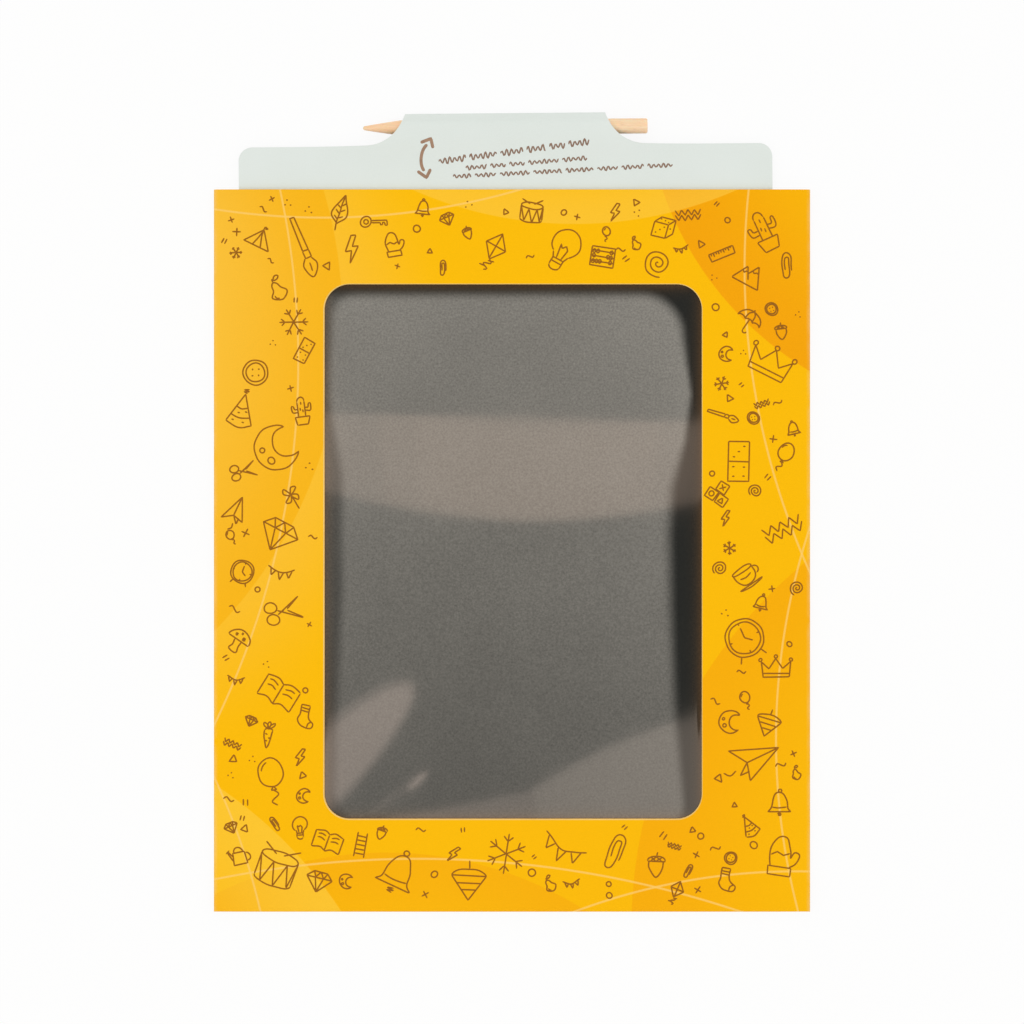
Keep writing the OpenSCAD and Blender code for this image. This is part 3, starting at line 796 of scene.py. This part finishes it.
coil = np.linspace(0.3, 5.4 * math.pi, 60)  # angles along the spiral
doodles = {
    "kite": [line(0, 100, 55, 30, 0, -40, -55, 30, 0, 100), line(0, 100, 0, -40), line(-55, 30, 55, 30),
        curve(0, -40, 20, -55, -15, -72, 15, -88, 0, -100), line(-2, -50, 30, -42),
        line(-5, -80, -32, -84)],
    "umbrella": [arc(0, 5, 100, 85, 0, 180), *[arc(x, 5, 33.5, 16, 0, 180) for x in (-66, 0, 66)],
        line(0, 90, 0, 105), line(0, 20, 0, -78), arc(17, -78, 17, 20, 180, 360),
        *flip(curve(0, 90, 26, 60, 33, 5))],
    "mushroom": [arc(0, 10, 90, 80, 0, 180), line(-90, 10, 90, 10), blot(-38, 42, 14, 13),
        curve(-30, 10, -24, -40, -36, -80, 0, -90, 36, -80, 24, -40, 30, 10), blot(32, 38, 17, 16),
        blot(-2, 68, 11, 10)],
    "key": [arc(-58, 0, 40), arc(-58, 0, 17),
        line(-18, 8, 100, 8, 100, -30, 82, -30, 82, -8, 66, -8, 66, -24, 50, -24, 50, -8, -18, -8)],
    "bell": [curve(-80, -55, -58, -30, -48, 25, -28, 68, 0, 80, 28, 68, 48, 25, 58, -30, 80, -55),
        line(-80, -55, 80, -55), blot(0, -72, 17, 13), arc(0, 92, 12, 11),
        curve(-50, -22, 0, -30, 50, -22)],
    "drum": [arc(0, 50, 80, 24), arc(0, -50, 80, 24, 180, 360), *flip(line(80, 50, 80, -50)),
        line(-80, 40, -50, -66, -20, 24, 10, -73, 40, 28, 66, -62, 80, 40), line(10, 62, 75, 100),
        line(-20, 60, -80, 95)],
    "balloon": [arc(0, 40, 52, 60), line(0, -20, -12, -34, 12, -34, 0, -20),
        curve(0, -34, 16, -55, -14, -78, 6, -100), arc(-5, 45, 32, 38, 100, 170)],
    "moon": [arc(0, 0, 90, 90, 40, 320), arc(50, 0, 60.8, 60.8, 72, 288), arc(-55, 20, 10),
        arc(-45, -35, 14)],
    "gem": [line(-50, 60, 50, 60, 95, 15, 0, -90, -95, 15, -50, 60), line(-95, 15, 95, 15),
        line(-50, 60, -30, 15, 0, 60, 30, 15, 50, 60), line(-30, 15, 0, -90, 30, 15)],
    "bolt": [line(10, 100, -50, -10, -5, -10, -28, -100, 50, 20, 5, 20, 45, 100, 10, 100)],
    "paperPlane": [line(-100, 15, 100, 75, 15, -85, -15, -15, -100, 15), line(-15, -15, 100, 75),
        line(-15, -15, -30, -75, 5, -48), curve(-50, -60, -70, -85, -100, -80)],
    "mitten": [curve(-45, -45, -55, 25, -25, 92, 20, 90, 40, 35, 44, 0),
        curve(44, 0, 62, 32, 86, 20, 70, -20, 42, -45), box(-55, -45, 52, -85),
        line(-48, 10, -20, 25, 10, 10, 40, 25)],
    "sock": [curve(-40, 90, -36, 10, -46, -40, 0, -85, 75, -85, 90, -45, 45, -15, 30, 20, 30, 90),
        line(-40, 90, 30, 90), line(-38, 62, 30, 62), line(-37, 40, 30, 40),
        curve(45, -85, 50, -50, 75, -30)],
    "book": [line(0, -55, 0, 55),
        *flip(curve(0, 55, 40, 75, 95, 62), line(95, 62, 95, -50), curve(95, -50, 40, -38, 0, -55),
        curve(20, 40, 50, 50, 75, 46), curve(20, 12, 50, 22, 75, 18))],
    "button": [arc(0, 0, 80), arc(0, 0, 60), *fan(4, dot(20, 20))],
    "die": [box(-80, -80, 30, 30), line(80, 75, 80, -35, 30, -80), line(-80, 30, -30, 75, 80, 75, 30, 30),
        dot(55, 2), dot(0, 52), *[dot(-25 + 28 * k, -25 + 28 * k) for k in (-1, 0, 1)], dot(-30, 60),
        dot(30, 44)],
    "partyHat": [line(-62, -70, 0, 72, 62, -70), curve(-62, -70, 0, -90, 62, -70), blot(0, 86, 14, 14),
        curve(-46, -33, 0, -46, 46, -33), curve(-28, 8, 0, 0, 28, 8), dot(-10, -20), dot(22, -12),
        dot(-30, -60), dot(20, -62)],
    "bunting": [curve(-100, 45, 0, 5, 100, 45), line(-80, 33, -66, -25, -40, 14),
        line(-20, 7, 0, -50, 20, 7), line(40, 14, 66, -25, 80, 33)],
    "acorn": [arc(0, 25, 66, 38, 0, 180), line(-66, 25, 66, 25), line(0, 62, 10, 95),
        curve(-54, 25, -48, -30, 0, -92, 48, -30, 54, 25), line(-40, 28, 5, 60), line(0, 28, 38, 52),
        line(40, 28, -5, 60), line(0, 28, -38, 52)],
    "carrot": [curve(-32, 35, -24, -25, 0, -100, 24, -25, 32, 35), arc(0, 35, 32, 14, 0, 180),
        *flip(curve(0, 48, 36, 68, 42, 92, 12, 78, 0, 48)), curve(0, 48, -12, 85, 0, 105, 12, 85, 0, 48),
        line(-26, 10, -5, 6), line(20, -20, 2, -24), line(-16, -45, 0, -48)],
    "pear": [curve(0, 60, -24, 38, -34, 0, -64, -45, 0, -92, 64, -45, 34, 0, 24, 38, 0, 60),
        line(0, 60, 6, 92), curve(6, 75, 30, 100, 60, 90, 35, 70, 6, 75),
        curve(-38, -35, -36, -60, -15, -74)],
    "feather": [curve(-85, -95, -20, -15, 80, 90), curve(-55, -60, -50, 25, 80, 90),
        curve(-55, -60, 30, -40, 80, 90), line(-36, -36, -44, 0), line(-10, -8, -20, 32),
        line(16, 20, 6, 56), line(-30, -30, 6, -36), line(0, 2, 38, -2), line(28, 32, 60, 34)],
    "spiral": [100 * np.stack([coil * np.cos(coil), coil * np.sin(coil)], axis=-1) / coil[-1]],
    "zigzag": [line(*[(-100 + 25 * k, 22 * (-1) ** k) for k in range(9)]),
        line(*[(-100 + 25 * k, 22 * (-1) ** k - 40) for k in range(9)])],
    "snowflake": fan(6, line(0, 0, 92, 0), line(55, 0, 78, 22), line(55, 0, 78, -22)),
    "teacup": [curve(-70, 40, -62, -20, -30, -55, 30, -55, 62, -20, 70, 40), arc(0, 40, 70, 16),
        arc(66, 2, 32, 26, -80, 80), arc(0, -66, 85, 16, 180, 360), line(-85, -66, 85, -66),
        curve(-40, -5, 0, -16, 40, -5)],
    "clock": [arc(0, 0, 85), arc(0, 0, 70), line(0, 48, 0, 0, 30, -22), *fan(4, line(70, 0, 58, 0)),
        *flip(line(45, -72, 62, -100))],
    "spinningTop": [line(0, 100, 0, 58), arc(0, 25, 85, 34, 0, 180), line(-85, 25, 0, -95, 85, 25),
        line(-85, 25, 85, 25), line(-60, -10, 60, -10), line(-36, -44, 36, -44)],
    "blocks": [*[box(x, y, x + 80, y + 80) for x, y in ((-90, -85), (2, -85), (-44, 2))], arc(-50, -45, 20),
        line(20, -65, 64, -65, 42, -25, 20, -65), line(-24, 22, 16, 62), line(-24, 62, 16, 22)],
    "paintbrush": [line(-95, 82, 10, -20, 28, -2, -82, 95, -95, 82),
        line(10, -20, 32, -42, 50, -24, 28, -2), curve(32, -42, 42, -80, 95, -95, 85, -40, 50, -24),
        curve(55, -50, 68, -62, 80, -78)],
    "ruler": [box(-100, -30, 100, 30),
        *[line(-80 + 20 * k, 30, -80 + 20 * k, 2 if k % 2 else 14) for k in range(9)]],
    "ladder": [*flip(line(35, 100, 42, -100)), *[line(-39, y, 39, y) for y in (-70, -35, 0, 35, 70)]],
    "crown": [line(-80, -50, -90, 45, -42, 0, 0, 65, 42, 0, 90, 45, 80, -50, -80, -50),
        line(-82, -28, 82, -28), arc(0, 76, 10), *flip(arc(94, 56, 10))],
    "bulb": [arc(0, 30, 60, 60, -55, 235), *flip(line(34, -19, 24, -42, 24, -75)), line(-24, -42, 24, -42),
        line(-24, -58, 24, -58), arc(0, -75, 24, 14, 180, 360),
        line(-10, -40, -20, 20, -6, 5, 6, 20, 20, 5, 10, -40)],
    "cactus": [arc(0, 62, 24, 30, 0, 180), *flip(line(24, 62, 24, -40), line(50, -40, 36, -95)),
        curve(24, 0, 60, 0, 66, 45, 52, 45, 46, 20, 24, 20),
        curve(-24, -10, -62, -10, -68, 30, -54, 30, -48, 10, -24, 10), line(-50, -40, 50, -40),
        line(-36, -95, 36, -95), line(0, 60, 0, 40), line(8, 10, 8, -10), line(-10, 20, -10, 0)],
    "pinwheel": [*[stroke + (0, 30) for stroke in fan(4, curve(0, 0, 30, 50, 66, 30, 0, 0))],
        line(0, 30, 0, -100), arc(0, 30, 7)],
    "tent": [line(-95, -60, 0, 65, 95, -60, -95, -60), curve(0, 65, -10, 0, -32, -60),
        curve(0, 65, 10, 0, 32, -60), line(0, 65, 0, 90, 28, 82, 0, 74)],
    "mountains": [line(-100, -60, -40, 55, 5, -28), line(-15, 10, 30, 85, 100, -60, -100, -60),
        line(-58, 20, -44, 6, -34, 20, -22, 20), line(6, 46, 22, 30, 34, 45, 52, 40)],
    "scissors": [line(90, 55, -30, -10), line(90, -55, -30, 10), arc(-58, -30, 32, 26),
        arc(-58, 30, 32, 26), dot(0, 2), line(90, 55, 20, 5), line(90, -55, 20, -2)],
    "paperClip": [curve(30, -35, 30, 60, 0, 92, -30, 60, -30, -60, -8, -85, 14, -60, 14, 45, 0, 60,
        -14, 45, -14, -30)],
    "domino": [box(-50, -95, 50, 95), line(-50, 0, 50, 0), *[dot(25 * k, 47 + 25 * k) for k in (-1, 0, 1)],
        *flip(dot(25, -25), dot(25, -70))],
    "abacus": [box(-90, -75, 90, 75), *[line(-90, y, 90, y) for y in (-40, 0, 40)],
        *[arc(x, y, 11, 15) for x, y in ((-70, 40), (-45, 40), (65, 40), (-70, 0), (40, 0), (65, 0),
                                         (-70, -40), (-45, -40), (-20, -40), (65, -40))]],
    "wateringCan": [line(-45, 30, 50, 30, 60, -70, -55, -70, -45, 30), arc(58, -15, 36, 34, -85, 85),
        line(-52, -35, -90, 40), line(-49, 0, -80, 50), line(-100, 34, -70, 58),
        arc(2, 30, 40, 42, 0, 180)],
}
fillers = [
    [line(-100, 0, 100, 0), line(0, -100, 0, 100)],
    [arc(0, 0, 80)],
    [line(-90, -70, 90, -70, 0, 90, -90, -70)],
    [dot(x, y, 20) for x, y in ((-80, -40), (70, -60), (0, 70))],
    [line(-90, -50, -20, 90), line(0, -90, 70, 50)],
    [curve(-130, 0, -65, 50, 0, 0, 65, -50, 130, 0)],
]
drawing = {
    "unit": 100, "pen": 0.46, "penEnd": 0.5, "proud": 0.02, "sunk": 0.06, "layer": 0.003, "layers": 8,
    "step": 0.45, "wobble": 0.09, "wobbleTurn": 1.1, "seed": 23, "ink": "#9a6004",
    "inkPatch": 1.2, "inkFrom": (0.3, 0.7), "inkTone": (0.88, 1.12),
    "gloss": {"Roughness": 0.5, "Specular IOR Level": 0.22},
    "window": (62.0, 87.0), "border": (93.0, 113.0), "spread": 0.96, "gap": 0.8, "tries": 4000, "turn": 35,
    "throws": [  # how many, least and greatest half size, what from
        (22, 6.2, 8.0, "drawings"), (44, 3.8, 5.2, "drawings"), (40, 2.2, 3.1, "plain"),
        (80, 0.9, 1.5, "marks"),
    ],
    "plain": ("bolt", "gem", "moon", "balloon", "spiral", "zigzag", "snowflake", "paperClip", "bunting",
              "button", "pear", "bell", "acorn"),
}


def printInk(name, colour):
    # offset ink overprinted on card: a flat brown line, a little uneven in strength
    material, add, place = newMaterial(name)
    patch = add("TexNoise", place, 1 / drawing["inkPatch"], Detail=3.0)
    tone = add("MapRange", patch, *drawing["inkFrom"], *drawing["inkTone"])
    tint = add("VectorMath", linear(colour)[:3], tone, operation="SCALE")
    add("OutputMaterial", add("BsdfPrincipled", tint, **drawing["gloss"]))
    return material


def penStroke(stroke, pen):
    # a flat ribbon along a stroke: half the pen's width to its left and right, with narrowed ends
    length = np.concatenate([[0], np.cumsum(np.hypot(*np.diff(stroke, axis=0).T))])
    count = max(4, round(length[-1] / drawing["step"]) + 1)
    ring = np.hypot(*(stroke[0] - stroke[-1])) < hair
    at = np.linspace(0, length[-1], count, endpoint=not ring)
    path = np.stack([np.interp(at, length, stroke[:, k]) for k in (0, 1)], axis=-1)
    ahead = np.roll(path, -1, axis=0) - np.roll(path, 1, axis=0) if ring else np.gradient(path, axis=0)
    ahead /= np.linalg.norm(ahead, axis=1, keepdims=True)
    aside = np.stack([-ahead[:, 1], ahead[:, 0]], axis=-1) * pen / 2
    if not ring:
        aside[[0, -1]] *= drawing["penEnd"]
    return path, aside, ring


def ribbons(name, strokes, pen, heightAt, material):
    # all strokes as one mesh; each cross-section is a low box, sunk a little into the card, and each stroke
    # climbs by a layer from its start to its end, so that strokes that cross never share a plane
    points = []
    faces = []
    total = 0
    onTop = np.array([False, True, True, False])
    for k, stroke in enumerate(strokes):
        path, aside, ring = penStroke(stroke, pen)
        edges = np.stack([path + aside, path + aside, path - aside, path - aside], axis=1)
        climb = k % drawing["layers"] + np.linspace(0, 1, len(path))[:, None]
        lift = np.where(onTop, drawing["proud"] + drawing["layer"] * climb, -drawing["sunk"])
        height = heightAt(edges[:, :, 0], edges[:, :, 1]) + lift
        index = total + np.arange(len(path) * 4).reshape(-1, 4)
        table = np.hstack([index, index[:, :1]])
        if ring:
            table = np.vstack([table, table[:1]])
        else:
            faces += [index[:1, ::-1], index[-1:]]
        faces.append(quads(table))
        points.append(np.dstack([edges, height]))
        total += index.size
    piece = newPiece(name, np.vstack(points), np.vstack(faces), [material])
    settle(piece)
    return piece


def scatter():
    # drawings of three sizes, then small marks, thrown one by one into the border round the window;
    # one that would leave the border or come too near another isn't kept
    draw = np.random.default_rng(drawing["seed"])
    pools = {"drawings": [doodles[name] for name in draw.permutation(sorted(doodles))],
             "plain": [doodles[name] for name in drawing["plain"]], "marks": fillers}
    kept = np.empty((0, 3))
    strokes = []
    used = dict.fromkeys(pools, 0)
    for count, least, most, pool in drawing["throws"]:
        size = draw.uniform(least, most, (drawing["tries"], 1))
        spot = draw.uniform(-1, 1, (drawing["tries"], 2)) * drawing["border"]
        within = np.all(np.abs(spot) <= drawing["border"] - size, axis=1)
        within &= np.any(np.abs(spot) >= drawing["window"] + size, axis=1)
        last = len(kept) + count
        for x, y, half in np.hstack([spot, size])[within]:
            apart = np.hypot(kept[:, 0] - x, kept[:, 1] - y)
            if len(kept) == last or np.any(apart < drawing["spread"] * (kept[:, 2] + half) + drawing["gap"]):
                continue
            kept = np.vstack([kept, (x, y, half)])
            motif = pools[pool][used[pool] % len(pools[pool])]
            used[pool] += 1
            turn = draw.uniform(-1, 1) * drawing["turn"]
            for stroke in motif:
                drawn = turned(stroke / drawing["unit"] * half, turn) + (x, y)
                wave = drawn[:, ::-1] * drawing["wobbleTurn"] + draw.uniform(0, 2 * math.pi, 2)
                strokes.append(drawn + drawing["wobble"] * np.sin(wave))
    print("drawings placed,", len(kept))
    return strokes


doodlePrint = ribbons("doodlePrint", scatter(), drawing["pen"], lambda x, y: panelTop(x),
                      printInk("offsetInkBrown", drawing["ink"]))
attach(doodlePrint, "sleeve")
print("line drawings printed,", len(doodlePrint.data.polygons), "faces")


# Marks on the slider: a bent two-headed arrow, and rows of plain scribble beside it

marks = {
    "pen": 0.5, "ink": "#8f7462", "wave": 1.55, "swell": 0.25, "swellTurn": 1.3, "step": 0.25, "seed": 5,
    "run": (4.5, 9.5), "leastRun": 3.0, "space": 1.3,
    "rows": [  # x, y, width, height, slope
        (1.3, 126.7, 45, 1.2, 0.119), (7.4, 123.4, 40, 0.8, 0.073), (19.3, 120.9, 72, 0.8, 0.044)],
    "arrowPen": 1.0, "arrowInk": "#a08068", "arrow": (-25.3, 125.2), "arrowTurn": -7.6,
    "shaft": (0.9, 0, 2.4, 4.4, 112, 248), "head": (-2.2, 4.4, 0.9, 6.05, 1.9, 3.2),
}


def scribble():
    # rows of a chain of small waves that swell and shrink, broken now and then
    draw = np.random.default_rng(marks["seed"])
    strokes = []
    for x, y, wide, tall, slope in marks["rows"]:
        start = x - wide / 2
        while start < x + wide / 2 - marks["leastRun"]:
            run = draw.uniform(*marks["run"])
            along = np.linspace(0, run, round(run / marks["step"]))
            swell = 1 - marks["swell"] + marks["swell"] * np.sin(along * marks["swellTurn"] + start)
            swing = tall * np.sin(2 * math.pi * along / marks["wave"]) * swell
            strokes.append(np.stack([start + along, y + swing + slope * (start + along - x)], axis=-1))
            start += run + marks["space"]
    return strokes


def bentArrow():  # part of an ellipse, and an open head a little clear of each end
    head = line(*marks["head"])
    return [turned(stroke, marks["arrowTurn"]) + marks["arrow"]
            for stroke in (arc(*marks["shaft"]), head, head * (1, -1))]


def sliderFace(x, y):
    return sliderLift(x, y) + slider["card"] / 2


for name, strokes, pen, inkName, ink in (
        ("sliderNote", scribble(), marks["pen"], "offsetInkDarkOnMint", marks["ink"]),
        ("sliderArrow", bentArrow(), marks["arrowPen"], "offsetInkPaleOnMint", marks["arrowInk"])):
    mark = ribbons(name, strokes, pen, sliderFace, printInk(inkName, ink))
    place = np.empty(len(mark.data.vertices) * 3)
    mark.data.vertices.foreach_get("co", place)
    mark.data.vertices.foreach_set("co", (leaning(place.reshape(-1, 3) / mm) * mm).ravel())
    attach(mark, "slider")
print("slider marked")


# Inside pieces keep their CAD shapes and get their own finishes

def coated(name, kind, pattern, colours, roughness, relief, ior=1.5):
    # one pattern runs between two colours, and between two roughnesses where they are given, and lifts the
    # face by its relief: a strength and a depth in millimetres
    material, add, place = newMaterial(name)
    ripple = add(kind, place, **pattern).node.outputs["Fac"]
    tint = add("Mix", ripple, *map(linear, colours), data_type="RGBA")
    rough = add("MapRange", ripple, 0, 1, *roughness) if roughness[1:] else roughness[0]
    bump = add("Bump", relief[0], relief[1] * mm, Height=ripple)
    add("OutputMaterial", add("BsdfPrincipled", tint, Roughness=rough, Normal=bump, IOR=ior))
    return material


# soft dark wax spread on board: near black, slightly greasy, in streaks about 3 mm wide
pressedWax = coated("darkWaxSpread", "TexNoise", {"Scale": 1 / 3, "Detail": 5.0}, ("#141310", "#24221d"),
                    (0.25, 0.5), (0.2, 0.05), ior=1.44)
# dispersion glue, rolled on and dried: milky, a little shiny, in beads of 1.5 mm
driedGlue = coated("dispersionGlueDried", "TexNoise", {"Scale": 1 / 1.5, "Detail": 2.0},
                   ("#f6f2e6", "#e2dac4"), (0.45,), (0.3, 0.05))
# gummed paper tape, creped across its length: tan, with fine ribs 0.8 mm apart
creped = {"bands_direction": "DIAGONAL", "Scale": 0.31 / 0.8, "Distortion": 3.0, "Detail": 2.0}
kraftTape = coated("gummedPaperTapeCreped", "TexWave", creped, ("#e6dcc0", "#d8cba8"), (0.6,), (0.3, 0.03))
slotFinish = {"plain_card": greyBack, "glue": driedGlue, "black_card": blackBoard, "wax": pressedWax,
              "tape": kraftTape, "grey_card": greyBoard}
replaced = ("front_wrap", "writing_film", "slider_card", "stylus")
for subpart in frame["record"]["subparts"]:
    if subpart["node"] not in replaced:
        materials = frame["nodes"][subpart["node"]].data.materials
        materials.clear()
        materials.append(slotFinish[subpart["material_slot"]])
print("inside pieces finished")


# Lamps: soft light from the mouth's, the foot's and both long sides, and the room's windows in the film

lamps = [  # name, place, size, radiance; each looks at the middle of the slate
    ("topSoftbox", (-150, 1000, 1000), (1400, 700), 0.5),
    ("footSoftbox", (-150, -1000, 1000), (1400, 700), 0.3),
    ("leftSoftbox", (-1200, 0, 900), (700, 1000), 0.6),
    ("rightSoftbox", (1200, 0, 900), (700, 1000), 0.5),
]
panes = [  # name, shape, place, size, turn in degrees, radiance, colour; each looks straight down
    ("bandPane", "RECTANGLE", (0, 50.2, 1000), (420, 51.6), -1.1, 1.7, "#ffdfc6"),
    ("bandInnerPane", "RECTANGLE", (17, 51.2, 1003), (214, 49.0), -1.1, 0.4, "#ffdfc6"),
    ("bandCorePane", "RECTANGLE", (17, 52.2, 1006), (164, 47.0), -1.1, 0.3, "#ffdfc6"),
    ("lobePane", "ELLIPSE", (-141, -172.8, 1000), (174, 44), 41.5, 1.55, "#ffe5d4"),
    ("lobeHaloPane", "ELLIPSE", (-141, -170.8, 1004), (178, 55), 41.5, 1.35, "#ffe5d4"),
    ("streakPane", "ELLIPSE", (-64, -173.0, 1000), (15, 3.8), 34, 4.4, "#ffe5d4"),
    ("trailPane", "ELLIPSE", (-80, -181.0, 1000), (36, 5), 30, 0.8, "#ffe5d4"),
    ("footPane", "RECTANGLE", (-34, -194.3, 1000), (101, 16), 7, 1.5, "#ffe5d4"),
    ("cornerPane", "RECTANGLE", (18.6, -242.9, 1000), (333.5, 120), 24, 1.95, "#ffebd9"),
]


def addLamp(name, shape, place, size, radiance, colour, facing):  # a flat lamp of a given radiance
    lamp = bpy.data.lights.new(name, "AREA")
    lamp.shape = shape
    lamp.size = size[0] * mm
    lamp.size_y = size[1] * mm
    area = size[0] * size[1] * mm * mm * (math.pi / 4 if shape == "ELLIPSE" else 1)
    lamp.energy = radiance * math.pi * area
    lamp.color = linear(colour)[:3]
    holder = bpy.data.objects.new(name, lamp)
    holder.location = Vector(place) * mm
    holder.rotation_euler = facing
    bpy.context.scene.collection.objects.link(holder)


for name, place, size, radiance in lamps:
    facing = Vector(place).to_track_quat("Z", "Y").to_euler()
    addLamp(name, "RECTANGLE", place, size, radiance, "#ffffff", facing)
for name, shape, place, size, turn, radiance, colour in panes:
    addLamp(name, shape, place, size, radiance, colour, (0, 0, math.radians(turn)))

room = {"light": (0.86, 0.28), "ceilingFrom": (0.93, 0.985)}  # walls, and straight above
world = bpy.data.worlds.new("studioRoom")
bpy.context.scene.world = world
world.use_nodes = True
world.node_tree.nodes.clear()
add = partial(addNode, world.node_tree)
upward = add("SeparateXYZ", add("TexCoord")).node.outputs["Z"]
level = add("MapRange", upward, *room["ceilingFrom"], *room["light"])
add("OutputWorld", add("Background", (1, 1, 1, 1), level))
print("lamps hung")
